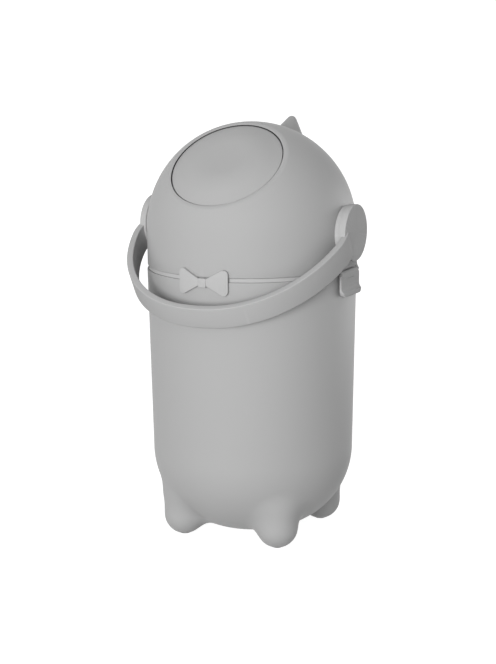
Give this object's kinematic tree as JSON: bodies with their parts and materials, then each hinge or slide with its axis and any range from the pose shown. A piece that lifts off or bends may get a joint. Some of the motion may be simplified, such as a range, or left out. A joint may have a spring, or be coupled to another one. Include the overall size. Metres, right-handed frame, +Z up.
{
  "type": "nappy bin",
  "caption": "Round nappy bin on moulded feet: domed head that tips open, spring-closed push-in flap, swinging carry handle and side latch.",
  "frame": {"origin": "on the floor, on the bin's vertical axis, between the four feet", "axes": "+Z up, the flap and the bow tie face -Y, the latch is on +X and the head's hinge on -X"},
  "size_m": [0.2496, 0.2505, 0.4493],
  "materials": {
    "shell": "matte",
    "trim": "matte",
    "inner": "matte",
    "seal": "matte",
    "steel": "satin"
  },
  "bodies": {
    "bin_body": {"body_shell": "shell", "foot_pads": "seal", "neck_ring": "trim", "neck_seal": "seal", "latch_keeper": "trim", "hinge_bracket": "trim", "bracket_screws": "steel", "hinge_pin": "steel"},
    "bag_ring": {"bag_ring": "inner"},
    "head": {"head_shell": "shell", "handle_boss_right": "trim", "handle_boss_left": "trim", "boss_screws": "steel", "handle_bolt_right": "steel", "handle_bolt_left": "steel", "handle_nuts": "steel", "flap_frame": "inner", "frame_screws": "steel", "flap_pin": "steel", "flap_spring": "steel", "latch_pin": "steel", "bow_tie": "trim"},
    "flap": {"flap_cap": "shell", "flap_seal": "seal", "flap_backplate": "inner", "flap_screws": "steel"},
    "handle": {"handle_bail": "trim", "handle_cap_right": "trim", "handle_cap_left": "trim"},
    "latch": {"latch_clip": "trim"}
  },
  "joints": [
    {"name": "head_open", "type": "hinge", "parent": "bin_body", "child": "head", "pos_m": [-0.1172, 0, 0.2953], "axis": [0, -1, 0], "range_deg": [0, 100]},
    {"name": "bag_ring_lift", "type": "slide", "parent": "bin_body", "child": "bag_ring", "axis": [0, 0, 1], "range_m": [0, 0.036]},
    {"name": "handle_swing", "type": "hinge", "parent": "head", "child": "handle", "pos_m": [0, 0, 0.336], "axis": [-1, 0, 0], "range_deg": [0, 145]},
    {"name": "flap_push", "type": "hinge", "parent": "head", "child": "flap", "pos_m": [0, 0.00451, 0.43656], "axis": [1, 0, 0], "range_deg": [0, 75], "stiffness_Nm_per_rad": 0.08, "springref_deg": -68.75, "deforming": ["flap_spring"]},
    {"name": "latch_flip", "type": "hinge", "parent": "head", "child": "latch", "pos_m": [0.114, 0, 0.2951], "axis": [0, -1, 0], "range_deg": [0, 95]}
  ]
}
